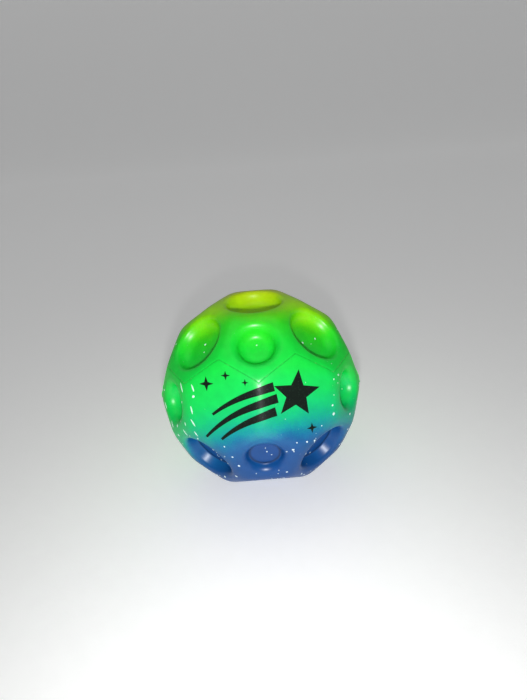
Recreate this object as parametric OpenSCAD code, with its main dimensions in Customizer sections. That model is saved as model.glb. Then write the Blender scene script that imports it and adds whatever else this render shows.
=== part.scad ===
// Cratered bounce ball for juggling: moulded foam with a dense skin in two halves.
// Its surface has the 32 cells of a truncated icosahedron. Small cells are the pentagons
// and large cells the hexagons, and every cell but the two printed ones holds a crater.
// The origin is the ball's centre. +Z points through one large cell, so the ball stands
// on the large cell opposite, and the print faces -Y.

/* [Ball] */
// Diameter of the ball over its rounded corners
ball_d = 60; // [58:0.5:66]
// How far the sharp corners of the flat cells would stand out of the ball
corner_trim = 0.46; // [0.2:0.02:0.6]
// Thickness of the dense skin over the foam
skin_t = 1.2; // [0.8:0.1:1.5]

/* [Craters] */
// Radius at which a small crater's lip leaves the flat cell
small_mouth_r = 7; // [6.7:0.1:7.3]
// Radius of the rolled lip of a small crater
small_lip_r = 2.4; // [2.2:0.1:2.6]
// Radius of the fillet at the foot of a small crater's wall
small_fillet_r = 2; // [1.8:0.1:2.2]
// Radius at which a large crater's lip leaves the flat cell
large_mouth_r = 9.1; // [8.8:0.1:9.4]
// Radius of the rolled lip of a large crater
large_lip_r = 1.8; // [1.7:0.1:1.9]
// Radius of the fillet at the foot of a large crater's wall
large_fillet_r = 3; // [2.8:0.1:3.2]
// Radius of that fillet in the crisp craters round the lower pole
crisp_fillet_r = 0.5; // [0.3:0.1:0.8]
// Depth of each crater's floor below its flat cell
crater_depth = 3.5; // [3.3:0.1:3.8]
// Depth of the small crisp craters, which are shallower
shallow_depth = 2.3; // [2.2:0.1:2.6]

/* [Parting flash] */
// Width of the thin bead along the line where the two skin halves meet
flash_w = 0.5; // [0.3:0.1:0.8]
// Height of that bead above the skin
flash_h = 0.22; // [0.1:0.02:0.4]

/* [Print] */
// Thickness of the printed ink film
ink_t = 0.08; // [0.04:0.02:0.2]
// Outer radius of the big printed star
star_r = 6.2; // [5:0.2:6.8]
// Width of each stripe of its tail
stripe_w = 2.3; // [1.5:0.1:2.6]

/* [Paint specks] */
// Number of places tried for a paint speck
speck_tries = 240; // [20:10:300]
// Radius of the smallest speck
speck_min_r = 0.18; // [0.1:0.02:0.25]
// Radius of the largest speck
speck_max_r = 0.42; // [0.3:0.02:0.6]
// Thickness of a speck
speck_t = 0.06; // [0.04:0.02:0.12]

/* [Hidden] */

ball_r = ball_d / 2;
corner_r = ball_r + corner_trim;

// Tilts of the small cells' axes from a large cell's axis: the nearer ring and the next one
near_tilt = acos(sqrt((5 + 2 * sqrt(5)) / 15));
next_tilt = acos(sqrt((5 - 2 * sqrt(5)) / 15));

function direction(tilt, turn) = [sin(tilt) * cos(turn), sin(tilt) * sin(turn), cos(tilt)];
function unit(v) = v / norm(v);
function tilt_of(v) = acos(v.z / norm(v));
function turn_of(v) = atan2(v.y, v.x);

// Axes of the small cells: the half above the ball's middle, then their opposites
small_near = [for (turn = [-90, 30, 150]) direction(near_tilt, turn)];
small_next = [for (turn = [-30, 90, 210]) direction(next_tilt, turn)];
small_half = concat(small_near, small_next);
small_cells = concat(small_half, -1 * small_half);

// Two small cells are neighbours when their axes are one icosahedron edge apart
neighbour_dot = 0.4;
function near_each_other(a, b) = a * b > neighbour_dot && a * b < 0.99;

// Each large cell lies between three small cells that are all neighbours
last = len(small_cells) - 1;
large_cells = [
    for (i = [0 : last]) for (j = [i : last]) for (k = [j : last])
        let (a = small_cells[i], b = small_cells[j], c = small_cells[k])
            if (near_each_other(a, b) && near_each_other(b, c) && near_each_other(a, c)) unit(a + b + c)
];
all_cells = concat(small_cells, large_cells);

// The mould opens along the axis of the large cell behind the top one
mould_axis = unit(small_near[1] + small_near[2] + small_next[1]);
function in_upper(v) = v * mould_axis > 0;

// The two blank cells that carry the print, side by side on the front
blank_left = unit(small_near[0] + small_next[2] - small_next[1]);
blank_right = unit(small_near[0] + small_next[0] - small_next[1]);
print_axis = unit(blank_left + blank_right);
function is_blank(v) = v * blank_left > 0.99 || v * blank_right > 0.99;

// Corners of the cells, and how far each kind of flat cell is from the centre
corners = [for (a = small_cells) for (b = small_cells) if (near_each_other(a, b)) unit(2 * a + b)];
small_h = corner_r * max([for (v = small_cells) v * corners[0]]);
large_h = corner_r * max([for (v = large_cells) v * corners[0]]);
function is_small(v) = max([for (c = small_cells) c * v]) > 0.999;
function flat_h(v) = is_small(v) ? small_h : large_h;
function mouth_r(v) = is_small(v) ? small_mouth_r : large_mouth_r;
function lip_r(v) = is_small(v) ? small_lip_r : large_lip_r;

// The craters round the mould's lower pole have a sharp crease at the wall's foot, and the
// others are soft bowls
crisp_below = -0.5;
function is_crisp(v) = v * mould_axis < crisp_below;
function fillet_r(v) = is_crisp(v) ? crisp_fillet_r : is_small(v) ? small_fillet_r : large_fillet_r;
function depth(v) = is_crisp(v) && is_small(v) ? shallow_depth : crater_depth;

// From the flat cell a crater's lip rolls through this angle. Its wall then runs straight down
// to the fillet. The lip starts a little proud of the flat, so that it meets it at a small angle.
wall_tilt = 68;
lip_lift = 0.05;
mouth_clear = 3;
arc_steps = 7;
function lip_end(v) = [
    mouth_r(v) - lip_r(v) * sin(wall_tilt),
    lip_lift + lip_r(v) * (cos(wall_tilt) - 1),
];
function foot_r(v) = lip_end(v).x - (lip_end(v).y + depth(v)) / tan(wall_tilt);
function floor_r(v) = foot_r(v) - fillet_r(v) * tan(wall_tilt / 2);

// The foam core is the same body made smaller, so the skin is skin_t thick on a large cell
core_scale = 1 - skin_t / large_h;

// Cell corners that both skin halves touch, in order round the mould axis
corner_dot = 0.9;
function mould_sides(v) = [for (c = all_cells) if (c * v > corner_dot) in_upper(c) ? 1 : 0];
mould_x = unit(cross([0, 1, 0], mould_axis));
mould_y = cross(mould_axis, mould_x);
function seam_turn(v) = atan2(v * mould_y, v * mould_x);
seam_loose = [for (v = corners) if (max(mould_sides(v)) != min(mould_sides(v))) v];
function seam_place(v) = len([for (w = seam_loose) if (seam_turn(w) < seam_turn(v)) 1]);
seam_count = len(seam_loose);
seam = [for (i = [0 : seam_count - 1]) [for (v = seam_loose) if (seam_place(v) == i) v][0]];
seam_reach = 3 * ball_r;

$fn = 96;

// Turns +Z towards a direction
module aim(v) {
    rotate([0, tilt_of(v), turn_of(v)]) children();
}

// Everything on the centre's side of a flat cell at height h
module behind_flat(v, h) {
    w = 3 * ball_r;
    aim(v) translate([-w / 2, -w / 2, h - w]) cube(w);
}

// A ball with the named cells cut flat, scaled about the centre and then grown
module facet_body(cells, s, grow) {
    intersection() {
        sphere(r = ball_r * s + grow);
        intersection_for (v = cells) behind_flat(v, flat_h(v) * s + grow);
    }
}

// The space of one crater, with z = 0 on its flat cell. An inset moves its walls and floor
// into the ball, for the foam under the skin.
module crater_space(v, inset) {
    turns = [for (i = [0 : arc_steps]) wall_tilt * i / arc_steps];
    fillet_centre = [floor_r(v), fillet_r(v) - depth(v)];
    lip_centre = [mouth_r(v), lip_lift - lip_r(v)];
    fillet = [for (a = turns) fillet_centre + (fillet_r(v) + inset) * [sin(a), -cos(a)]];
    lip = [for (a = turns) lip_centre + (lip_r(v) - inset) * [-sin(a), cos(a)]];
    down = [for (i = [arc_steps : -1 : 0]) lip[i]];
    axis_points = [[mouth_r(v), mouth_clear], [0, mouth_clear], [0, -depth(v) - inset]];
    rotate_extrude() polygon(concat(fillet, down, axis_points));
}

module craters(cells, inset) {
    for (v = cells)
        if (!is_blank(v))
            aim(v) translate([0, 0, flat_h(v)]) crater_space(v, inset);
}

module cratered_body(cells, s, inset) {
    difference() {
        facet_body(cells, s, 0);
        craters(cells, inset);
    }
}

// The space of one mould half: a cone from the centre out through the seam's corners
module mould_half(cap) {
    ring = [for (v = seam) seam_reach * v];
    next = function(i) (i + 1) % seam_count;
    cone = [for (i = [0 : seam_count - 1]) [seam_count, i, next(i)]];
    lid = [for (i = [0 : seam_count - 1]) [seam_count + 1, next(i), i]];
    faces = concat(cone, lid);
    turned = [for (f = faces) [f[2], f[1], f[0]]];
    polyhedron(concat(ring, [[0, 0, 0], seam_reach * cap]), cap * mould_axis > 0 ? faces : turned);
}

module skin_half(cap) {
    cells = [for (v = all_cells) if (v * cap > 0) v];
    intersection() {
        mould_half(cap);
        difference() {
            cratered_body(cells, 1, 0);
            cratered_body(cells, core_scale, skin_t);
        }
    }
}

// Keeps the part of the children that lies in a thin layer on the flat cells
module on_surface(cells, t) {
    difference() {
        intersection() {
            children();
            facet_body(cells, 1, t);
        }
        facet_body(cells, 1, 0);
    }
}

// Thin walls that stand along the seam, one for each cell edge
module seam_fins() {
    depth = 0.1 * ball_r;
    for (i = [0 : seam_count - 1]) {
        a = seam[i];
        b = seam[(i + 1) % seam_count];
        out = unit(a + b);
        along = unit(b - a);
        side = cross(out, along);
        edge = corner_r * norm(b - a) + flash_w;
        to_edge = [
            [out.x, along.x, side.x, 0],
            [out.y, along.y, side.y, 0],
            [out.z, along.z, side.z, 0],
        ];
        multmatrix(to_edge)
            translate([ball_r - depth, -edge / 2, -flash_w / 2]) cube([2 * depth, edge, flash_w]);
    }
}

// The print lies in a plane that is square to print_axis, with x to the right and y up.
// Every place and size here is in that plane.
print_depth = 6;
star_x = 9.2;
star_y = 1.9;
star_lean = -9;
star_waist = 0.44;
tail_arc_r = 34;
tail_taper = 0.72;
// Each stripe's offset from the tail's middle arc, its gap behind the star and its length
stripes = [[3.1, 5.6, 17.5], [0, 4.9, 21.5], [-3.1, 5.5, 16]];
// Place and outer radius of each small star
sparks = [[-13.4, 6, 1.9], [-8.2, 8, 1.2], [-3.4, 6.1, 0.9], [12.6, -7.4, 1.4]];
spark_waist = 0.34;

// A star with its first point up
module star(points, outer_r, inner_r) {
    half_step = 180 / points;
    polygon([
        for (i = [0 : 2 * points - 1])
            (i % 2 == 0 ? outer_r : inner_r) * [sin(i * half_step), cos(i * half_step)]
    ]);
}

// One stripe of the star's tail: it follows an arc round the tail's centre, from just behind
// the star, and thins out towards its far end
module tail_stripe(arc_r, gap, length, width) {
    steps = 12;
    point = function(t, side)
        let (
            a = (gap + length * t) / arc_r * 180 / PI,
            r = arc_r + side * width * (1 - tail_taper * t) / 2
        )
            [star_x, star_y - tail_arc_r] + r * [-sin(a), cos(a)];
    polygon(concat(
        [for (i = [0 : steps]) point(i / steps, 1)],
        [for (i = [steps : -1 : 0]) point(i / steps, -1)]
    ));
}

// A shooting star with a striped tail, and four small stars
module print_outline() {
    translate([star_x, star_y]) rotate(star_lean) star(5, star_r, star_waist * star_r);
    for (stripe = stripes)
        tail_stripe(tail_arc_r + stripe.x, stripe.y, stripe[2], stripe_w);
    for (spark = sparks)
        translate([spark.x, spark.y]) star(4, spark[2], spark_waist * spark[2]);
}

// Each speck is a place on the ball, its cell's axis and a radius. It lies on a flat cell or
// on a crater's floor, clear of the cell's edges, the walls, the seam and the print, and it is
// not on the flat border of the top or bottom cell.
speck_seed = 21;
speck_margin = 0.7;
// Least distance between two specks, in radii of the largest
speck_gap = 2.5;
// How far out along its axis the print's surroundings start, in radii of the ball
print_reach = 0.8;
// A higher bias makes more of the specks small
speck_bias = 2;
function cell_of(d) = [for (v = all_cells) if (v * d >= max(all_cells * d) - 1e-9) v][0];
function is_level(v) = abs(v.z) > 0.99;
function height_under(v, on_floor) = flat_h(v) - (on_floor ? depth(v) : 0);
function speck_place(d, on_floor) = let (v = cell_of(d)) d * height_under(v, on_floor) / (d * v);
function from_axis(p, v) = norm(p - (p * v) * v);
function inside_cell(p, v) =
    min([for (u = all_cells) u * v > 0.99 ? ball_r : flat_h(u) - u * p]) > speck_margin;
function on_print(p) = p * print_axis > print_reach * ball_r;
function fits_floor(p, v) = !is_blank(v) && from_axis(p, v) < floor_r(v) - speck_margin;
function fits_flat(p, v) =
    !is_level(v) && (is_blank(v) || from_axis(p, v) > mouth_r(v) + speck_margin / 2);
function fits(p, v, on_floor) =
    inside_cell(p, v) && !on_print(p) && (on_floor ? fits_floor(p, v) : fits_flat(p, v));
speck_draws = rands(0, 1, 3 * speck_tries, speck_seed);
speck_tried = [
    for (i = [0 : speck_tries - 1])
        let (
            d = direction(acos(1 - 2 * speck_draws[3 * i]), 360 * speck_draws[3 * i + 1]),
            size = pow(speck_draws[3 * i + 2], speck_bias),
            r = speck_min_r + (speck_max_r - speck_min_r) * size
        )
            for (on_floor = [false, true])
                if (fits(speck_place(d, on_floor), cell_of(d), on_floor))
                    [speck_place(d, on_floor), cell_of(d), r]
];
// A speck is dropped when an earlier one is too close
specks = [
    for (i = [0 : len(speck_tried) - 1])
        let (p = speck_tried[i][0], others = [for (j = [0 : i - 1]) norm(speck_tried[j][0] - p)])
            if (i == 0 || min(others) > speck_gap * speck_max_r) speck_tried[i]
];

module foam_core() {
    color("khaki") cratered_body(all_cells, core_scale, skin_t);
}

module upper_skin() {
    color("limegreen") skin_half(mould_axis);
}

module lower_skin() {
    color("royalblue") skin_half(-mould_axis);
}

module parting_flash() {
    color("mediumseagreen") on_surface(all_cells, flash_h) seam_fins();
}

module printed_mark() {
    color("black")
        on_surface([blank_left, blank_right], ink_t)
            aim(print_axis) rotate(90) translate([0, 0, ball_r - print_depth])
                linear_extrude(2 * print_depth) print_outline();
}

module paint_specks() {
    color("azure")
        for (speck = specks)
            translate(speck[0]) aim(speck[1]) cylinder(r = speck[2], h = speck_t);
}

foam_core();
upper_skin();
lower_skin();
parting_flash();
printed_mark();
paint_specks();
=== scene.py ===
# Looks for the cratered foam bounce ball: a painted foam skin in two moulded halves, its
# parting flash, a printed ink film, spattered paint and the foam core inside.
# Sizes of the ball are in millimetres until a mesh is made; Blender's own units are metres.
import math

import bpy
import numpy as np
from mathutils import Matrix, Vector, geometry, noise


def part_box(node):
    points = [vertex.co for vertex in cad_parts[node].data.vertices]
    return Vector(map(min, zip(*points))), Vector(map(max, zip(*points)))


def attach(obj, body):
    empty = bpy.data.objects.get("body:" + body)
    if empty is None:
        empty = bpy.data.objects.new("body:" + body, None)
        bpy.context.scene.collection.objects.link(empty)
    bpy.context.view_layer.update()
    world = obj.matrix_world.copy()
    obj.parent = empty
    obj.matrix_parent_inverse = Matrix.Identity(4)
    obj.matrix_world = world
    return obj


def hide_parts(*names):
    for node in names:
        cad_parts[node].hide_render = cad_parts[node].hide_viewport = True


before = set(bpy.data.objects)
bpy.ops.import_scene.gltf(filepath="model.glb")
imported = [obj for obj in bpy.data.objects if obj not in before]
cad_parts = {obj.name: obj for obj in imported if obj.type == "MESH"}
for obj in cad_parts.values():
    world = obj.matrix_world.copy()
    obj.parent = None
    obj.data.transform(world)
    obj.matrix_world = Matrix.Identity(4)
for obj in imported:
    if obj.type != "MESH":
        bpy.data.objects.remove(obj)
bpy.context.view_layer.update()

MM = 0.001

# The body, as in the CAD model
SKIN_T = 1.2

# Each kind of crater: the mouth's radius, the rolled lip's radius, the tilt of the wall, the
# radius of the fillet at its foot and the depth of the floor. Soft ones are bowls. Crisp ones,
# which are near the lower pole, are pans with a sharp crease.
CRATERS = {
    ("soft", "small"): (7.1, 2.5, 68, 2.3, 3.5),
    ("soft", "large"): (9.0, 1.5, 66, 3.2, 3.5),
    ("crisp", "small"): (6.9, 2.4, 68, 0.5, 2.3),
    ("crisp", "large"): (9.0, 1.8, 70, 0.5, 3.5),
}
# A crater is crisp when its axis is further from the mould's axis than this cosine
CRISP_BELOW = -0.5

# How the looks soften the CAD's shape: the rounding of the edges, the dish in each floor and
#  the groove along the seam, and the width of the painted shade along a crisp crease. The opening
#  is about how much the gap between two cells' heights grows with each millimetre from their edge.
EDGE_SOFTNESS = 0.62
EDGE_OPENING = 0.7
FLOOR_DISH = 0.3
CREASE_SHADE_W = 0.3
GROOVE_DEPTH = 0.05
GROOVE_W = 0.14

# How finely the skin is drawn. Between a crater's mouth and the cell's edge, or from the centre
# of a blank cell, the rows lie at these shares of the way.
STEPS_PER_SIDE = 16
LIP_STEPS = 13
FLOOR_STEPS = 7
FILLET_STEPS = 5
FLAT_SHARES = (0.22, 0.45, 0.66, 0.8, 0.9, 0.955, 0.985, 1.0)
BLANK_SHARES = (0.1, 0.2, 0.3, 0.4, 0.5, 0.6, 0.7, 0.78, 0.85, 0.9, 0.94, 0.965, 0.985, 0.995, 1.0)
INNER_ROW_STEP = 3
SETTLE_STEPS = 12
SHARP_TURN = 60


# ---------------------------------------------------------------- the cells

# Cosines over which two axes are those of neighbouring small cells, or are the same axis
NEIGHBOUR_DOT = 0.4
SAME_DOT = 0.99


def unit(v):
    return v / np.linalg.norm(v, axis=-1, keepdims=True)


def direction(tilt, turn):
    """The unit vector tilted from +Z by one angle and turned from +X by another, in degrees."""
    tilt, turn = math.radians(tilt), math.radians(turn)
    flat = math.sin(tilt)
    return np.array([flat * math.cos(turn), flat * math.sin(turn), math.cos(tilt)])


def neighbours(a, b):
    """Two small cells are neighbours when their axes are one icosahedron edge apart."""
    return NEIGHBOUR_DOT < a @ b < SAME_DOT


def small_cell_axes():
    near = math.degrees(math.acos(math.sqrt((5 + 2 * math.sqrt(5)) / 15)))
    beyond = math.degrees(math.acos(math.sqrt((5 - 2 * math.sqrt(5)) / 15)))
    half = [direction(near, turn) for turn in (-90, 30, 150)]
    half += [direction(beyond, turn) for turn in (-30, 90, 210)]
    return half + [-v for v in half]


def large_cell_axes(small):
    axes = []
    for i, a in enumerate(small):
        for j in range(i + 1, len(small)):
            for k in range(j + 1, len(small)):
                b, c = small[j], small[k]
                if neighbours(a, b) and neighbours(b, c) and neighbours(a, c):
                    axes.append(unit(a + b + c))
    return axes


SMALL_AXES = small_cell_axes()
LARGE_AXES = large_cell_axes(SMALL_AXES)
CORNERS = np.array([unit(2 * a + b) for a in SMALL_AXES for b in SMALL_AXES if neighbours(a, b)])
LARGE_H = -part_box("lower_skin")[0].z / MM
CORNER_R = LARGE_H / max(v @ CORNERS[0] for v in LARGE_AXES)
SMALL_H = CORNER_R * max(v @ CORNERS[0] for v in SMALL_AXES)
AXES = np.array(SMALL_AXES + LARGE_AXES)
HEIGHTS = np.array([SMALL_H] * len(SMALL_AXES) + [LARGE_H] * len(LARGE_AXES))

MOULD_AXIS = unit(SMALL_AXES[1] + SMALL_AXES[2] + SMALL_AXES[4])
BLANK_LEFT = unit(SMALL_AXES[0] + SMALL_AXES[5] - SMALL_AXES[4])
BLANK_RIGHT = unit(SMALL_AXES[0] + SMALL_AXES[3] - SMALL_AXES[4])
PRINT_AXIS = unit(BLANK_LEFT + BLANK_RIGHT)
UPPER = AXES @ MOULD_AXIS > 0
BLANK = np.maximum(AXES @ BLANK_LEFT, AXES @ BLANK_RIGHT) > SAME_DOT


class Cell:
    """One cell of the ball: its axis, its height, its crater and its corners in order."""

    def __init__(self, index):
        self.index = index
        self.axis = AXES[index]
        self.height = HEIGHTS[index]
        self.small = index < len(SMALL_AXES)
        self.upper = UPPER[index]
        self.blank = BLANK[index]
        self.crisp = self.axis @ MOULD_AXIS < CRISP_BELOW
        self.kind = ("crisp" if self.crisp else "soft", "small" if self.small else "large")
        sides = 5 if self.small else 6
        nearest = np.argsort(-CORNERS @ self.axis)[:sides]
        self.x = unit(np.cross(self.axis, CORNERS[nearest[0]]))
        self.y = np.cross(self.axis, self.x)
        turns = np.arctan2(CORNERS[nearest] @ self.y, CORNERS[nearest] @ self.x)
        self.corners = CORNERS[nearest[np.argsort(turns)]]
        self.first_turn = turns.min()
        self.radii, self.drops, self.crease_shades = (
            (np.zeros(1), np.zeros(1), np.zeros(1)) if self.blank else crater_profile(self)
        )


def crater_profile(cell):
    """Radius, drop below the flat cell and weight of painted shade near a crisp crease, from the
    centre of a crater's floor out to its mouth: a dished floor, a fillet, a wall and a rolled lip."""
    mouth_r, lip_r, tilt, fillet_r, depth = CRATERS[cell.kind]
    tilt = math.radians(tilt)
    lip_end = np.array([mouth_r - lip_r * math.sin(tilt), lip_r * (math.cos(tilt) - 1)])
    foot_r = lip_end[0] - (lip_end[1] + depth) / math.tan(tilt)
    floor_r = foot_r - fillet_r * math.tan(tilt / 2)
    floor = [
        (floor_r * share, -depth - FLOOR_DISH * (1 + math.cos(math.pi * share)) / 2)
        for share in np.linspace(0, 1, FLOOR_STEPS + 1)
    ]
    fillet = [
        (floor_r + fillet_r * math.sin(a), -depth + fillet_r * (1 - math.cos(a)))
        for a in np.linspace(0, tilt, FILLET_STEPS + 1)[1:]
    ]
    wall = [tuple(fillet[-1] + (lip_end - fillet[-1]) * share) for share in (1 / 3, 2 / 3)]
    lip = [
        (mouth_r - lip_r * math.sin(a), lip_r * (math.cos(a) - 1))
        for a in np.linspace(tilt, 0, LIP_STEPS + 1)
    ]
    radii, drops = np.array(floor + fillet + wall + lip).T
    to_crease = np.hypot(radii - floor_r, drops + depth)
    # Painted shade: points near a crisp crease get a weight that darkens their colour
    crease = np.exp(-((to_crease / CREASE_SHADE_W) ** 2)) if cell.crisp else np.zeros_like(radii)
    return radii, drops, crease


CELLS = [Cell(i) for i in range(len(AXES))]


# ---------------------------------------------------------------- the surface

def cell_gaps(points):
    """How far each point is outside the rounded cells, the share each cell has in the rounding
    and how far the point is outside each flat cell."""
    gaps = points @ AXES.T - HEIGHTS
    most = gaps.max(1, keepdims=True)
    shares = np.exp((gaps - most) / EDGE_SOFTNESS)
    total = shares.sum(1, keepdims=True)
    return (most + EDGE_SOFTNESS * np.log(total))[:, 0], shares / total, gaps


def settle(points, along):
    """Slides each point along its own direction on to the flat cells with rounded edges."""
    for _ in range(SETTLE_STEPS):
        outside, shares, _ = cell_gaps(points)
        slope = (shares * (along @ AXES.T)).sum(1)
        points = points - (outside / slope)[:, None] * along
    return points


def seam_distance(points):
    """How far each point is from the line where the two skin halves meet."""
    gaps = cell_gaps(points)[2]
    between = gaps[:, UPPER].max(1) - gaps[:, ~UPPER].max(1)
    return np.abs(between) / EDGE_OPENING


def surface_at(directions):
    """The painted surface for each direction: the rounded cells, sunk by the cell's crater."""
    nearest = np.argmax(directions @ AXES.T / HEIGHTS, axis=1)
    axis, height = AXES[nearest], HEIGHTS[nearest]
    on_plane = directions * (height / (directions * axis).sum(1))[:, None]
    radius = np.linalg.norm(on_plane - axis * height[:, None], axis=1)
    drop = np.zeros(len(directions))
    for cell in CELLS:
        here = nearest == cell.index
        drop[here] = np.interp(radius[here], cell.radii, cell.drops, right=0)
    return settle(on_plane, directions) + drop[:, None] * axis


def normals_at(directions, reach=0.05):
    """Outward normals of the painted surface, from points a short way to each side."""
    helper = np.where(np.abs(directions[:, 2:3]) < 0.9, [[0.0, 0.0, 1.0]], [[1.0, 0.0, 0.0]])
    side = unit(np.cross(directions, helper))
    up = np.cross(directions, side)
    step = reach / LARGE_H
    across = surface_at(unit(directions + step * side)) - surface_at(unit(directions - step * side))
    along = surface_at(unit(directions + step * up)) - surface_at(unit(directions - step * up))
    normal = unit(np.cross(across, along))
    return normal * np.sign((normal * directions).sum(1, keepdims=True))


# Overspray starts where a wall's normal is further from the mould's axis than these cosines.
# In the upper craters this share of it is on the floor whichever way that faces.
HIGH_FACING = 0.5
LOW_FACING = 0.15
FLOOR_SHARE = 0.45


class Shell:
    """The whole painted surface as one set of points, with each cell's grid of point numbers."""

    def __init__(self):
        self.points, self.crease_shades, self.grids = [], [], []
        self.edge_numbers = {}
        for cell in CELLS:
            self.grids.append(self.add_cell(cell))
        self.points = np.array(self.points)
        self.crease_shades = np.array(self.crease_shades)
        self.normals = self.find_normals()
        self.seam = seam_distance(self.points)
        self.overspray = self.find_overspray()
        groove = GROOVE_DEPTH * np.exp(-((self.seam / GROOVE_W) ** 2))
        self.grooved = self.points - groove[:, None] * self.normals

    def add_cell(self, cell):
        """Rows of points from a cell's centre out to its edge. Returns the number of the centre
        point and the grid of the others' numbers."""
        count = len(cell.corners) * STEPS_PER_SIDE
        onward = np.arange(STEPS_PER_SIDE)[:, None] / STEPS_PER_SIDE
        following = np.roll(cell.corners, -1, axis=0)
        edges = np.concatenate([
            unit(a * (1 - onward) + b * onward) for a, b in zip(cell.corners, following)
        ])
        turns = cell.first_turn + 2 * math.pi * np.arange(count) / count
        outward = np.cos(turns)[:, None] * cell.x + np.sin(turns)[:, None] * cell.y
        centre = cell.axis * cell.height
        on_edge = edges * (cell.height / (edges @ cell.axis))[:, None]
        profile = zip(cell.radii[1:], cell.drops[1:], cell.crease_shades[1:])
        rows = [(centre + r * outward, drop, crease) for r, drop, crease in profile]
        mouth = centre + cell.radii[-1] * outward
        for share in BLANK_SHARES if cell.blank else FLAT_SHARES:
            rows.append((mouth + (on_edge - mouth) * share, 0.0, 0.0))
        grid = []
        for row, (flat, drop, crease) in enumerate(rows):
            points = settle(flat, unit(flat)) + drop * cell.axis
            if row < len(rows) - 1:
                grid.append([self.add(p, crease) for p in points])
            else:
                grid.append([self.add_shared(e, p) for e, p in zip(edges, points)])
        middle = settle(centre[None], cell.axis[None])[0] + cell.drops[0] * cell.axis
        return self.add(middle, 0.0), np.array(grid)

    def add(self, point, crease):
        self.points.append(point)
        self.crease_shades.append(crease)
        return len(self.points) - 1

    def add_shared(self, edge, point):
        """A point on a cell's edge is shared with the cell next to it."""
        key = tuple(np.round(edge, 6) + 0.0)
        if key not in self.edge_numbers:
            self.edge_numbers[key] = self.add(point, 0.0)
        return self.edge_numbers[key]

    def faces(self, cells, rows=None):
        """Outward faces of the named cells: a fan at each centre, then a strip for each row."""
        faces = []
        for cell in cells:
            middle, grid = self.grids[cell.index]
            if rows:
                grid = grid[rows(len(grid))]
            turned = np.roll(grid, -1, axis=1)
            faces += [(middle, a, b) for a, b in zip(grid[0].tolist(), turned[0].tolist())]
            strips = np.stack([grid[:-1], grid[1:], turned[1:], turned[:-1]], axis=-1)
            faces += [tuple(face) for face in strips.reshape(-1, 4).tolist()]
        return faces

    def find_normals(self):
        normals = np.zeros_like(self.points)
        faces = self.faces(CELLS)
        for sides in (3, 4):
            numbers = np.array([face for face in faces if len(face) == sides])
            a, b, c, d = (self.points[numbers[:, i]] for i in (0, 1, 2, -1))
            across = np.cross(c - a, d - b) if sides == 4 else np.cross(b - a, c - a)
            for column in numbers.T:
                np.add.at(normals, column, across)
        return unit(normals)

    def find_overspray(self):
        """How much more of its own pole's colour a crater has, from 0 on the flat to 1. Above,
        it gathers on the floor and on the walls that face away from the pole. Below, it is on
        the walls that face the pole, right up to the lip."""
        share = np.zeros(len(self.points))
        for cell in [cell for cell in CELLS if not cell.blank]:
            middle, grid = self.grids[cell.index]
            numbers = np.append(grid[: len(cell.radii)].ravel(), middle)
            floor_depth = CRATERS[cell.kind][-1]
            depth = (cell.height - self.points[numbers] @ cell.axis) / floor_depth
            facing = self.normals[numbers] @ MOULD_AXIS
            if cell.upper:
                away = np.clip(HIGH_FACING - facing, 0, 1)
                share[numbers] = np.clip(depth, 0, 1) * (FLOOR_SHARE + (1 - FLOOR_SHARE) * away)
            else:
                away = np.clip(LOW_FACING - facing, 0, 1)
                share[numbers] = np.clip(2 * depth, 0, 1) * away
        return share

    def inside(self, depth):
        """Every point of the surface moved straight in by a depth."""
        return self.points - depth * self.normals


def inner_rows(count):
    """Row numbers for the hidden inner surface: fewer of them, with the last one kept."""
    return sorted(set(range(0, count, INNER_ROW_STEP)) | {count - 1})


# ---------------------------------------------------------------- making pieces

def make_piece(name, points, faces, material, node, values=None):
    """A smooth mesh piece that stands for a CAD node, from points in millimetres."""
    used = sorted({i for face in faces for i in face})
    number = {old: new for new, old in enumerate(used)}
    mesh = bpy.data.meshes.new(name)
    faces = [[number[i] for i in face] for face in faces]
    mesh.from_pydata((np.asarray(points)[used] * MM).tolist(), [], faces)
    mesh.shade_smooth()
    mesh.set_sharp_from_angle(angle=math.radians(SHARP_TURN))
    for key, value in (values or {}).items():
        attribute = mesh.attributes.new(key, "FLOAT", "POINT")
        attribute.data.foreach_set("value", np.asarray(value)[used].astype(np.float32))
    mesh.materials.append(material)
    piece = bpy.data.objects.new(name, mesh)
    bpy.context.scene.collection.objects.link(piece)
    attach(piece, "root")
    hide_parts(node)
    return piece


def open_edges(faces):
    """The edges that only one face has, each in that face's own direction."""
    edges = [(face[i - 1], face[i]) for face in faces for i in range(len(face))]
    directed = set(edges)
    return [(a, b) for a, b in edges if (b, a) not in directed]


def thicken(outer, inner, count):
    """Closes a shell: outer faces, inner faces turned over, and a rim round the open edge.
    The inner points follow the outer ones in the list of points."""
    turned = [tuple(i + count for i in reversed(face)) for face in inner]
    rim = [(b, a, a + count, b + count) for a, b in open_edges(outer)]
    return outer + turned + rim


# ---------------------------------------------------------------- materials

# Most of a noise texture's values are in this span
GRAIN_SPAN = (0.3, 0.7)
# A dot is solid out to this share of its radius
DOT_CORE = 0.7


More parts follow.
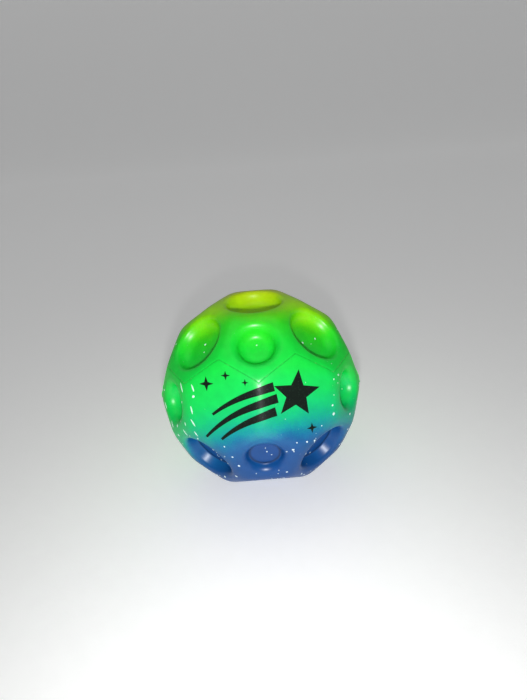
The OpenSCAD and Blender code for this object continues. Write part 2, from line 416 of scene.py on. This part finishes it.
class Paint:
    """Adds nodes to one material and joins them up."""

    def __init__(self, name):
        self.material = bpy.data.materials.new(name)
        self.material.use_nodes = True
        self.tree = self.material.node_tree
        self.shader = self.tree.nodes["Principled BSDF"]
        self.place = self.node("ShaderNodeTexCoord").outputs["Object"]

    def node(self, kind, **settings):
        node = self.tree.nodes.new(kind)
        for key, value in settings.items():
            setattr(node, key, value)
        return node

    def feed(self, socket, value):
        if isinstance(value, bpy.types.NodeSocket):
            self.tree.links.new(value, socket)
        else:
            socket.default_value = value

    def maths(self, operation, a, b=0.0, c=0.0, clamp=False):
        node = self.node("ShaderNodeMath", operation=operation, use_clamp=clamp)
        for socket, value in zip(node.inputs, (a, b, c)):
            self.feed(socket, value)
        return node.outputs[0]

    def along(self, axis):
        """Distance of each point along an axis through the ball's centre, in metres."""
        node = self.node("ShaderNodeVectorMath", operation="DOT_PRODUCT")
        self.feed(node.inputs[0], self.place)
        node.inputs[1].default_value = tuple(axis)
        return node.outputs["Value"]

    def grain(self, size, detail=2.0, roughness=0.5):
        """Noise from 0 to 1 whose blotches are about as wide as size, in millimetres."""
        node = self.node("ShaderNodeTexNoise")
        self.feed(node.inputs["Vector"], self.place)
        node.inputs["Scale"].default_value = 1 / (size * MM)
        node.inputs["Detail"].default_value = detail
        node.inputs["Roughness"].default_value = roughness
        return node.outputs["Fac"]

    def dots(self, spacing, radius, share):
        """Round dots: one may lie in each spacing-wide patch, and a share of patches has one."""
        node = self.node("ShaderNodeTexVoronoi", feature="F1")
        self.feed(node.inputs["Vector"], self.place)
        node.inputs["Scale"].default_value = 1 / (spacing * MM)
        edge = radius / spacing
        near = self.span(node.outputs["Distance"], edge, DOT_CORE * edge)
        pick = self.node("ShaderNodeSeparateColor")
        self.feed(pick.inputs["Color"], node.outputs["Color"])
        chosen = self.maths("LESS_THAN", pick.outputs[0], share)
        return self.maths("MULTIPLY", near, chosen)

    def span(self, value, low, high, to_low=0.0, to_high=1.0):
        """A value carried from one span to another and held within it."""
        node = self.node("ShaderNodeMapRange", clamp=True)
        spans = {"From Min": low, "From Max": high, "To Min": to_low, "To Max": to_high}
        for key, item in {"Value": value, **spans}.items():
            self.feed(node.inputs[key], item)
        return node.outputs["Result"]

    def vary(self, size, detail, low, high):
        """A value that grain of a size carries up and down between two others."""
        return self.span(self.grain(size, detail), *GRAIN_SPAN, low, high)

    def attribute(self, name):
        return self.node("ShaderNodeAttribute", attribute_name=name).outputs["Fac"]

    def ramp(self, value, stops):
        """Colours along a value from 0 to 1, each at its own place."""
        stops = list(stops)
        node = self.node("ShaderNodeValToRGB")
        elements = node.color_ramp.elements
        while len(elements) < len(stops):
            elements.new(1.0)
        for element, (position, colour) in zip(elements, stops):
            element.position = position
            element.color = (*colour, 1.0)
        self.feed(node.inputs["Fac"], value)
        return node.outputs["Color"]

    def mix(self, share, a, b, blend="MIX"):
        node = self.node("ShaderNodeMix", data_type="RGBA", blend_type=blend)
        self.feed(node.inputs["Factor"], share)
        for key, value in (("A", a), ("B", b)):
            socket = [s for s in node.inputs if s.name == key and s.type == "RGBA"][0]
            self.feed(socket, (*value, 1.0) if isinstance(value, tuple) else value)
        return [s for s in node.outputs if s.type == "RGBA"][0]

    def bump(self, height, depth, under=None):
        """A bump of a depth in millimetres, on top of another one if there is one."""
        node = self.node("ShaderNodeBump")
        node.inputs["Strength"].default_value = 1.0
        node.inputs["Distance"].default_value = depth * MM
        self.feed(node.inputs["Height"], height)
        if under:
            self.feed(node.inputs["Normal"], under)
        return node.outputs["Normal"]

    def finish(self, colour, roughness, normal, **settings):
        self.feed(self.shader.inputs["Base Color"], colour)
        self.feed(self.shader.inputs["Roughness"], roughness)
        self.feed(self.shader.inputs["Normal"], normal)
        for key, value in settings.items():
            self.shader.inputs[key.replace("_", " ")].default_value = value
        return self.material


# The fade runs along the mould's axis and has two fronts, each a little askew. Below, blue
# meets green; above, green turns to yellow. Each stop is a place in millimetres from the
# ball's centre, and a colour.
FADE_REACH = 31.0
FRONT_BLEND = 1.5
LOW_AXIS = unit(MOULD_AXIS + np.array([-0.09, 0.015, -0.015]))
LOW_FADE = (
    (-29.0, (0.003, 0.062, 0.250)),
    (-23.0, (0.002, 0.072, 0.260)),
    (-20.0, (0.001, 0.100, 0.290)),
    (-18.0, (0.001, 0.165, 0.320)),
    (-16.0, (0.001, 0.300, 0.300)),
    (-14.0, (0.001, 0.430, 0.230)),
    (-11.5, (0.002, 0.570, 0.160)),
    (-8.0, (0.004, 0.670, 0.105)),
    (0.0, (0.006, 0.710, 0.065)),
)
HIGH_AXIS = unit(MOULD_AXIS + np.array([0.03, -0.05, 0.04]))
HIGH_FADE = (
    (0.0, (0.006, 0.710, 0.065)),
    (8.0, (0.008, 0.720, 0.040)),
    (13.0, (0.030, 0.740, 0.018)),
    (15.0, (0.085, 0.760, 0.010)),
    (16.5, (0.150, 0.790, 0.006)),
    (18.0, (0.250, 0.820, 0.004)),
    (20.0, (0.360, 0.850, 0.004)),
    (23.0, (0.450, 0.880, 0.004)),
    (27.0, (0.580, 0.780, 0.004)),
    (30.0, (0.660, 0.620, 0.004)),
)
# How far overspray shifts the colours of a crater towards its own pole, at most
HIGH_OVERSPRAY = 2.4
LOW_OVERSPRAY = 8.0


def fade_front(paint, axis, stops, shift):
    """One front of the fade, with its place along the axis shifted."""
    place = paint.maths("ADD", paint.along(axis), shift)
    share = paint.span(place, -FADE_REACH * MM, FADE_REACH * MM)
    shares = [(mm + FADE_REACH) / (2 * FADE_REACH) for mm, _ in stops]
    return paint.ramp(share, zip(shares, [colour for _, colour in stops]))


def fade_colour(paint, overspray=0.0):
    """The sprayed fade: blotchy at a few millimetres and grainy where the colours meet. The
    overspray is how far each front is shifted, in metres."""
    blotch = paint.vary(9.0, 2.0, -0.9 * MM, 0.9 * MM)
    spray = paint.span(paint.grain(0.3, 1.0), 0.25, 0.75, -0.7 * MM, 0.7 * MM)
    shift = paint.maths("ADD", paint.maths("ADD", blotch, spray), overspray)
    low = fade_front(paint, LOW_AXIS, LOW_FADE, shift)
    high = fade_front(paint, HIGH_AXIS, HIGH_FADE, shift)
    upward = paint.span(paint.along(HIGH_AXIS), -FRONT_BLEND * MM, FRONT_BLEND * MM)
    return paint.mix(upward, low, high)


def skin_material(name, overspray):
    """Satin paint over dense foam, with painted shade in the crisp creases and darker along the
    parting line. Most of its sheen is a weak coat with a high IOR. That isn't how real paint is
    built
    up: it gains less at low angles than a plain sheen does, so the ball's rim keeps its colour. The
    overspray is how far the fade is shifted low in a crater, in millimetres."""
    paint = Paint(name)
    overspray = paint.maths("MULTIPLY", paint.attribute("overspray"), overspray * MM)
    colour = fade_colour(paint, overspray)
    shade = paint.vary(2.6, 4.0, 0.93, 1.04)
    # Painted shade in the crisp creases, plus a darker line along the parting line
    crease = paint.maths("MULTIPLY", paint.attribute("crease"), 0.6)
    line = paint.span(paint.attribute("seam"), 0.05, 0.16, 0.35, 0.0)
    crease_shade_and_seam_line = paint.maths("ADD", crease, line, clamp=True)
    shade = paint.maths("MULTIPLY", shade, paint.maths("SUBTRACT", 1.0, crease_shade_and_seam_line))
    colour = paint.mix(1.0, colour, shade, blend="MULTIPLY")
    coarse, fine = paint.dots(1.9, 0.13, 0.16), paint.dots(0.9, 0.07, 0.10)
    mist = paint.maths("MULTIPLY", paint.maths("ADD", coarse, fine, clamp=True), 0.75)
    colour = paint.mix(mist, colour, (0.62, 0.86, 0.80))
    roughness = paint.vary(0.9, 3.0, 0.29, 0.36)
    normal = paint.bump(paint.grain(3.4, 2.0), 0.04)
    normal = paint.bump(paint.grain(0.55, 2.0), 0.01, normal)
    normal = paint.bump(paint.grain(0.16, 1.0), 0.003, normal)
    return paint.finish(
        colour, roughness, normal, Specular_IOR_Level=0.06,
        Coat_Weight=0.09, Coat_IOR=4.0, Coat_Roughness=0.34,
    )


def flash_material():
    """The same paint on a thin fin, rubbed paler along its top."""
    paint = Paint("flash_paint")
    colour = fade_colour(paint)
    worn = paint.span(paint.grain(0.8, 3.0), 0.5, 0.75, 0.0, 0.4)
    colour = paint.mix(worn, colour, (0.55, 0.62, 0.30))
    shade = paint.vary(0.5, 2.0, 0.7, 0.95)
    colour = paint.mix(1.0, colour, shade, blend="MULTIPLY")
    roughness = paint.vary(0.5, 2.0, 0.45, 0.6)
    return paint.finish(colour, roughness, paint.bump(paint.grain(0.3, 2.0), 0.02))


def ink_material():
    """Black pad-printing ink: satin, with the grain of the paint under it."""
    paint = Paint("print_ink")
    thin = paint.span(paint.grain(0.3, 3.0, 0.6), 0.6, 0.72)
    thin = paint.maths("MULTIPLY", thin, 0.4)
    colour = paint.mix(thin, (0.003, 0.008, 0.005), (0.06, 0.14, 0.09))
    roughness = paint.vary(0.7, 3.0, 0.36, 0.5)
    normal = paint.bump(paint.grain(0.6, 2.0), 0.012)
    normal = paint.bump(paint.grain(0.2, 1.0), 0.012, normal)
    return paint.finish(colour, roughness, normal, Specular_IOR_Level=0.2)


def speck_material():
    """White spatter paint with some of the colour under it showing through."""
    paint = Paint("spatter_paint")
    cover = paint.span(paint.grain(1.2, 2.0), 0.35, 0.65, 0.65, 0.95)
    colour = paint.mix(cover, fade_colour(paint), (0.82, 0.97, 0.96))
    roughness = paint.vary(0.4, 2.0, 0.3, 0.45)
    return paint.finish(colour, roughness, paint.bump(paint.grain(0.15, 1.0), 0.006))


def foam_material():
    """Fine closed-cell foam: cream, with small round pores, each darkened towards its middle as
    painted shade.
    """
    paint = Paint("core_foam")
    pores = paint.node("ShaderNodeTexVoronoi", feature="F1")
    paint.feed(pores.inputs["Vector"], paint.place)
    pores.inputs["Scale"].default_value = 1 / (0.5 * MM)
    depth = paint.span(pores.outputs["Distance"], 0.0, 0.6)
    # Painted shade: each pore is darker towards its middle
    colour = paint.mix(depth, (0.50, 0.42, 0.22), (0.80, 0.72, 0.46))
    mottle = paint.vary(4.0, 3.0, 0.9, 1.05)
    colour = paint.mix(1.0, colour, mottle, blend="MULTIPLY")
    roughness = paint.vary(1.0, 2.0, 0.8, 0.95)
    return paint.finish(colour, roughness, paint.bump(depth, 0.15))


def floor_material():
    """A pale matt floor with a faint paper grain. It glows a little, to lift its shadows."""
    paint = Paint("studio_floor")
    shade = paint.vary(3.0, 4.0, 0.97, 1.0)
    colour = paint.mix(1.0, (0.92, 0.92, 0.91), shade, blend="MULTIPLY")
    normal = paint.bump(paint.grain(1.0, 3.0), 0.02)
    return paint.finish(
        colour, 0.85, normal, Emission_Color=(1.0, 1.0, 1.0, 1.0), Emission_Strength=0.22,
    )


# ---------------------------------------------------------------- the skins and the core

CORE_CLEARANCE = 0.03
shell = Shell()


def add_skin(name, upper):
    """One moulded half of the skin: a closed shell as thick as the skin."""
    cells = [cell for cell in CELLS if cell.upper == upper]
    points = np.concatenate([shell.grooved, shell.inside(SKIN_T)])
    faces = thicken(shell.faces(cells), shell.faces(cells, inner_rows), len(shell.points))
    values = {"crease": shell.crease_shades, "seam": shell.seam, "overspray": shell.overspray}
    values = {key: np.tile(value, 2) for key, value in values.items()}
    material = skin_material(name + "_paint", HIGH_OVERSPRAY if upper else -LOW_OVERSPRAY)
    return make_piece(name, points, faces, material, name, values)


add_skin("upper_skin", True)
add_skin("lower_skin", False)

core = make_piece(
    "foam_core", shell.inside(SKIN_T + CORE_CLEARANCE), shell.faces(CELLS, inner_rows),
    foam_material(), "foam_core",
)


# ---------------------------------------------------------------- the parting flash

# The fin's mean width, its height in front and what it gains towards the sides, how fast it
# gains it, and the depth of its root. Noise roughens the height, the width and the line.
FLASH_W = 0.13
FLASH_LOW = -0.03
FLASH_HIGH = 0.28
FLASH_SIDE_POWER = 5
FLASH_ROOT = 0.2
FLASH_ROUGH_H = 0.03
FLASH_ROUGH_W = 0.35
FLASH_SWAY = 0.05
FLASH_FINER = 3
FLASH_ARC = 7


def seam_loop():
    """Point numbers along the seam, in order."""
    lower = [cell for cell in CELLS if not cell.upper]
    follows = dict(open_edges(shell.faces(lower)))
    loop = [min(follows)]
    while follows[loop[-1]] != loop[0]:
        loop.append(follows[loop[-1]])
    return loop


def add_flash():
    """An uneven fin swept along the seam, low in front and behind and taller at the sides."""
    def roughness_at(places, closeness, offset):
        return np.array([noise.noise(Vector(p * closeness + offset)) for p in places])

    loop = seam_loop()
    count = len(loop) * FLASH_FINER
    stations = np.arange(count) / FLASH_FINER
    whole = np.arange(len(loop) + 1)

    def sample(values):
        closed = np.concatenate([values[loop], values[loop[:1]]])
        return np.stack([np.interp(stations, whole, column) for column in closed.T], axis=1)

    base = sample(shell.grooved)
    out = unit(sample(shell.normals))
    tangent = unit(np.roll(base, -1, axis=0) - np.roll(base, 1, axis=0))
    side = unit(np.cross(out, tangent))
    patchy, fine = roughness_at(base, 0.5, 0), roughness_at(base, 1.6, 40)
    swing = roughness_at(base, 0.8, 90)
    sideways = (np.abs(base[:, 0]) / CORNER_R) ** FLASH_SIDE_POWER
    height = FLASH_LOW + FLASH_HIGH * sideways * (1 + patchy) + FLASH_ROUGH_H * (1 + fine)
    width = FLASH_W * (1 + FLASH_ROUGH_W * fine)
    sway = FLASH_SWAY * swing
    arc = [(math.cos(a) / 2, math.sin(a) * height) for a in np.linspace(0, math.pi, FLASH_ARC)]
    roots = [(across, np.full(count, -FLASH_ROOT)) for across in (-0.5, 0.5)]
    rings = [
        base + (across * width + sway)[:, None] * side + up[:, None] * out
        for across, up in arc + roots
    ]
    points = np.stack(rings, axis=1).reshape(-1, 3)
    ring = len(rings)
    faces = []
    for i in range(count):
        j = (i + 1) % count
        for k in range(ring):
            m = (k + 1) % ring
            faces.append((i * ring + k, j * ring + k, j * ring + m, i * ring + m))
    return make_piece("parting_flash", points, faces, flash_material(), "parting_flash")


add_flash()


# ---------------------------------------------------------------- the print

INK_T = 0.03
INK_ROOT = 0.04
INK_EDGE_STEP = 0.3
INK_GRID_STEP = 0.55
# Stripes: offset from the tail's middle arc, distance from the star and length, along the arc.
# Sparks: place and radius.
STAR_AT = (9.2, 1.9)
STAR_R = 6.2
STAR_WAIST = 0.44
STAR_LEAN = -9
TAIL_ARC_R = 34
TAIL_TAPER = 0.72
STRIPE_W = 2.3
STRIPE_POINTS = 13
STRIPES = ((3.1, 5.6, 17.5), (0, 4.9, 21.5), (-3.1, 5.5, 16))
SPARKS = ((-13.4, 6, 1.9), (-8.2, 8, 1.2), (-3.4, 6.1, 0.9), (12.6, -7.4, 1.4))
SPARK_WAIST = 0.34
PRINT_RIGHT = np.array([1.0, 0.0, 0.0])
PRINT_UP = np.cross(PRINT_AXIS, PRINT_RIGHT)


def star(points, outer_r, inner_r, at, lean=0.0):
    """The outline of a star at a place, turned anticlockwise by a lean in degrees."""
    turns = [math.pi * i / points - math.radians(lean) for i in range(2 * points)]
    radii = [inner_r if i % 2 else outer_r for i in range(2 * points)]
    return [(at[0] + r * math.sin(t), at[1] + r * math.cos(t)) for r, t in zip(radii, turns)]


def tail_stripe(offset, gap, length):
    """One stripe of the star's tail, along an arc and thinning towards its far end."""
    def point(share, side):
        turn = (gap + length * share) / (TAIL_ARC_R + offset)
        r = TAIL_ARC_R + offset + side * STRIPE_W * (1 - TAIL_TAPER * share) / 2
        return STAR_AT[0] - r * math.sin(turn), STAR_AT[1] - TAIL_ARC_R + r * math.cos(turn)

    shares = np.linspace(0, 1, STRIPE_POINTS)
    return [point(s, 1) for s in shares] + [point(s, -1) for s in shares[::-1]]


def print_outlines():
    outlines = [star(5, STAR_R, STAR_WAIST * STAR_R, STAR_AT, STAR_LEAN)]
    outlines += [tail_stripe(*stripe) for stripe in STRIPES]
    outlines += [star(4, r, SPARK_WAIST * r, (x, y)) for x, y, r in SPARKS]
    return outlines


def fine_outline(outline):
    """The outline with points added along its long sides."""
    points = []
    for a, b in zip(outline, outline[1:] + outline[:1]):
        a, b = Vector(a), Vector(b)
        steps = max(1, round((b - a).length / INK_EDGE_STEP))
        points += [a.lerp(b, i / steps) for i in range(steps)]
    return points


def inner_grid(outline):
    """Points on a square grid inside an outline, clear of its edge."""
    low = Vector((min(p.x for p in outline), min(p.y for p in outline)))
    high = Vector((max(p.x for p in outline), max(p.y for p in outline)))
    corners = np.array([tuple(p) for p in outline])
    following = np.roll(corners, -1, axis=0)
    points = []
    for x in np.arange(low.x, high.x, INK_GRID_STEP):
        for y in np.arange(low.y, high.y, INK_GRID_STEP):
            crosses = (corners[:, 1] > y) != (following[:, 1] > y)
            a, b = corners[crosses], following[crosses]
            reach = a[:, 0] + (y - a[:, 1]) * (b[:, 0] - a[:, 0]) / (b[:, 1] - a[:, 1])
            inside = (reach > x).sum() % 2 == 1
            clear = np.hypot(corners[:, 0] - x, corners[:, 1] - y).min() > INK_EDGE_STEP
            if inside and clear:
                points.append(Vector((x, y)))
    return points


def add_print():
    """The ink film: each outline filled with small faces and laid on the blank cells."""
    flat, faces = [], []
    for outline in print_outlines():
        edge = fine_outline(outline)
        loop = list(range(len(edge)))
        filled = geometry.delaunay_2d_cdt(edge + inner_grid(edge), [], [loop], 1, 1e-5)
        faces += [tuple(i + len(flat) for i in face) for face in filled[2]]
        flat += [tuple(p) for p in filled[0]]
    flat = np.array(flat)
    start = flat[:, :1] * PRINT_RIGHT + flat[:, 1:] * PRINT_UP + LARGE_H * PRINT_AXIS
    on_skin = settle(start, np.tile(PRINT_AXIS, (len(start), 1)))
    normal = unit(cell_gaps(on_skin)[1] @ AXES)
    points = np.concatenate([on_skin + INK_T * normal, on_skin - INK_ROOT * normal])
    faces = thicken(faces, faces, len(flat))
    return make_piece("printed_mark", points, faces, ink_material(), "printed_mark")


add_print()


# ---------------------------------------------------------------- the paint specks

# A speck is a low dome: each ring has a share of its radius and a share of its height
SPECK_T = 0.07
SPECK_ROOT = 0.04
SPECK_RINGS = ((1.0, 0.0), (0.92, 0.45), (0.72, 0.8), (0.4, 0.97))
SPECK_SIDES = 14
SPECK_WOBBLE = ((0.12, 2, 9), (0.06, 3, 7))
EXTRA_TRIES = 1100
EXTRA_SEED = 7
EXTRA_R = (0.14, 0.42)
SMALL_BIAS = 1.6
# Places along the fade, in millimetres from the centre, and the chance of a speck at each
SPECK_PLACES = (-16, -11, -4, 20)
SPECK_CHANCES = (1.0, 0.8, 0.18, 0.05)
GREEN_FROM = -4
DASH_FROM = -15
DASH_R = (0.15, 0.24)
DASH_STRETCH = (2.6, 6.5)
DASH_SHARE = 0.35
DASH_LEAN = 30
PRINT_CLEAR = (17.0, 10.0)
# Specks are left off walls whose normal is further from the radius than this cosine, and
# from the green up they are left out of the craters, which are nearer the centre than this
SPECK_LEVEL = 0.8
FLAT_FROM = 27.0


def cad_specks():
    """Direction and radius of each round speck of the CAD model."""
    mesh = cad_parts["paint_specks"].data
    points = np.array([v.co for v in mesh.vertices]) / MM
    keys = [tuple(p) for p in np.round(points, 4) + 0.0]
    group = {key: key for key in keys}

    def root(key):
        while group[key] != key:
            key = group[key]
        return key

    for polygon in mesh.polygons:
        first = root(keys[polygon.vertices[0]])
        for i in polygon.vertices:
            group[root(keys[i])] = first
    members = {}
    for key in group:
        members.setdefault(root(key), []).append(key)
    specks = []
    for first in sorted(members):
        disc = np.array(members[first])
        middle = (disc.max(0) + disc.min(0)) / 2
        cell = CELLS[np.argmax(AXES @ middle / HEIGHTS)]
        radius = np.linalg.norm(disc - middle, axis=1).max()
        on_plane = middle + (cell.height - middle @ cell.axis) * cell.axis
        specks.append((unit(on_plane), radius, 1.0, 0.0))
    return specks


def extra_specks():
    """Smaller specks anywhere on the skin, thick in the blue and thin in the yellow. On the
    left, from the teal upwards, about a third of them are dashes that run down the ball."""
    random = np.random.default_rng(EXTRA_SEED)
    specks = []
    for _ in range(EXTRA_TRIES):
        place = unit(random.normal(size=3))
        chance, size, shape, stretch, lean = random.random(5)
        fade = place @ LOW_AXIS * CORNER_R
        wanted = np.interp(fade, SPECK_PLACES, SPECK_CHANCES)
        across, up = abs(place @ PRINT_RIGHT) * CORNER_R, abs(place @ PRINT_UP) * CORNER_R
        on_print = place @ PRINT_AXIS > 0 and across < PRINT_CLEAR[0] and up < PRINT_CLEAR[1]
        sunk = np.linalg.norm(surface_at(place[None])) < FLAT_FROM
        if chance > wanted or on_print or (fade > GREEN_FROM and sunk):
            continue
        dash = shape < DASH_SHARE and fade > DASH_FROM and place[0] < 0
        long = np.interp(stretch, (0, 1), DASH_STRETCH) if dash else 1.0
        radius = np.interp(size ** SMALL_BIAS, (0, 1), DASH_R if dash else EXTRA_R)
        specks.append((place, radius, long, math.radians(DASH_LEAN) * (lean - 0.5)))
    return specks


def add_specks():
    """Every speck as a low dome of paint that follows the skin under it."""
    directions, lifts = [], []
    specks = cad_specks() + extra_specks()
    places = np.array([speck[0] for speck in specks])
    level = (normals_at(places) * places).sum(1) > SPECK_LEVEL
    specks = [speck for speck, keep in zip(specks, level) if keep]
    turns = 2 * math.pi * np.arange(SPECK_SIDES) / SPECK_SIDES
    for place, radius, stretch, lean in specks:
        side = unit(np.cross(LOW_AXIS, place))
        up = np.cross(place, side)
        across = math.cos(lean) * side + math.sin(lean) * up
        down = math.cos(lean) * up - math.sin(lean) * side
        (depth_a, waves_a, start_a), (depth_b, waves_b, start_b) = SPECK_WOBBLE
        wobble = 1 + depth_a * np.sin(waves_a * turns + start_a * place[0])
        wobble = wobble + depth_b * np.sin(waves_b * turns + start_b * place[2])
        wide, long = np.cos(turns) * wobble, np.sin(turns) * wobble * stretch
        outline = wide[:, None] * across + long[:, None] * down
        for share, lift in SPECK_RINGS:
            directions.append(unit(place * CORNER_R + share * radius * outline))
            lifts.append(np.full(SPECK_SIDES, lift * SPECK_T))
        directions.append(np.stack([place, place]))
        lifts.append(np.array([SPECK_T, -SPECK_ROOT]))
    directions, lifts = np.concatenate(directions), np.concatenate(lifts)
    lifts[lifts == 0] = -SPECK_ROOT / 2
    points = surface_at(directions) + lifts[:, None] * normals_at(directions)
    faces = []
    rings = len(SPECK_RINGS)
    each = rings * SPECK_SIDES + 2
    for start in range(0, len(points), each):
        top, bottom = start + each - 2, start + each - 1
        for k in range(SPECK_SIDES):
            m = (k + 1) % SPECK_SIDES
            faces.append((start + m, start + k, bottom))
            for ring in range(rings - 1):
                a, b = start + ring * SPECK_SIDES, start + (ring + 1) * SPECK_SIDES
                faces.append((a + k, a + m, b + m, b + k))
            last = start + (rings - 1) * SPECK_SIDES
            faces.append((last + k, last + m, top))
    return make_piece("paint_specks", points, faces, speck_material(), "paint_specks")


add_specks()


# ---------------------------------------------------------------- floor, light and camera

def add_floor():
    """A pale floor that curves up into a wall far behind the ball. Its sizes are in metres."""
    ground = -LARGE_H * MM
    near, bend_start, bend_r, top, half_w, bend_steps = -1.2, 1.1, 0.7, 1.9, 2.6, 12
    outline = [(near, 0.0), (bend_start, 0.0)]
    for i in range(1, bend_steps + 1):
        a = math.pi / 2 * i / bend_steps
        outline.append((bend_start + bend_r * math.sin(a), bend_r * (1 - math.cos(a))))
    outline.append((bend_start + bend_r, top))
    points = [(x, y, ground + z) for y, z in outline for x in (-half_w, half_w)]
    faces = [(2 * i, 2 * i + 1, 2 * i + 3, 2 * i + 2) for i in range(len(outline) - 1)]
    mesh = bpy.data.meshes.new("floor")
    mesh.from_pydata(points, [], faces)
    mesh.shade_smooth()
    mesh.materials.append(floor_material())
    floor = bpy.data.objects.new("floor", mesh)
    bpy.context.scene.collection.objects.link(floor)


def aimed(place, target):
    """A transform at a place whose -Z looks at the target."""
    place, target = Vector(place), Vector(target)
    turn = (target - place).to_track_quat("-Z", "Y")
    return Matrix.Translation(place) @ turn.to_matrix().to_4x4()


def add_light(name, place, size, power):
    """A round soft light, with its place and size in metres, that shines at the ball."""
    data = bpy.data.lights.new(name, "AREA")
    data.shape = "DISK"
    data.size = size
    data.energy = power
    light = bpy.data.objects.new(name, data)
    bpy.context.scene.collection.objects.link(light)
    light.matrix_world = aimed(place, (0, 0, 0))


# Where the camera stands from the ball's centre, in degrees and metres, its roll, and the
# width of its view in degrees
CAMERA_TURN = 1.1
CAMERA_RISE = 30.8
CAMERA_DISTANCE = 0.143
CAMERA_ROLL = 5.0
CAMERA_FIELD = 59.3
# How far the ball's centre is from the middle of the view, in degrees to the left and down
AIM_LEFT = 0.31
AIM_DOWN = 4.46
# The camera's own small light is this far below its lens
LIGHT_BELOW = 0.013


def add_camera():
    turn, rise = math.radians(CAMERA_TURN), math.radians(CAMERA_RISE)
    place = CAMERA_DISTANCE * Vector((
        math.sin(turn) * math.cos(rise), -math.cos(turn) * math.cos(rise), math.sin(rise),
    ))
    data = bpy.data.cameras.new("camera")
    data.sensor_fit = "HORIZONTAL"
    data.angle = math.radians(CAMERA_FIELD)
    data.clip_start = 0.01
    data.clip_end = 20
    camera = bpy.data.objects.new("camera", data)
    bpy.context.scene.collection.objects.link(camera)
    left, down = math.tan(math.radians(AIM_LEFT)), math.tan(math.radians(AIM_DOWN))
    off_middle = Vector((-left, -down, -1)).rotation_difference(Vector((0, 0, -1)))
    roll = Matrix.Rotation(math.radians(-CAMERA_ROLL), 4, "Z")
    camera.matrix_world = aimed(place, (0, 0, 0)) @ roll @ off_middle.to_matrix().to_4x4()
    bpy.context.scene.camera = camera
    return camera


add_floor()
camera = add_camera()
bpy.context.view_layer.update()

down_view = camera.matrix_world.to_3x3() @ Vector((0, -1, 0))
light_place = camera.matrix_world.translation + LIGHT_BELOW * down_view
add_light("camera_light", light_place, 0.006, 0.142)
add_light("front_softbox", (0.02, -0.62, 0.24), 0.3, 0.25)
add_light("top_softbox", (-0.1, 0.1, 0.9), 0.8, 0.7)

world = bpy.data.worlds.new("studio")
world.use_nodes = True
background = world.node_tree.nodes["Background"]
background.inputs["Color"].default_value = (0.95, 0.97, 1.0, 1.0)
background.inputs["Strength"].default_value = 0.1
bpy.context.scene.world = world
bpy.context.scene.view_settings.view_transform = "Standard"
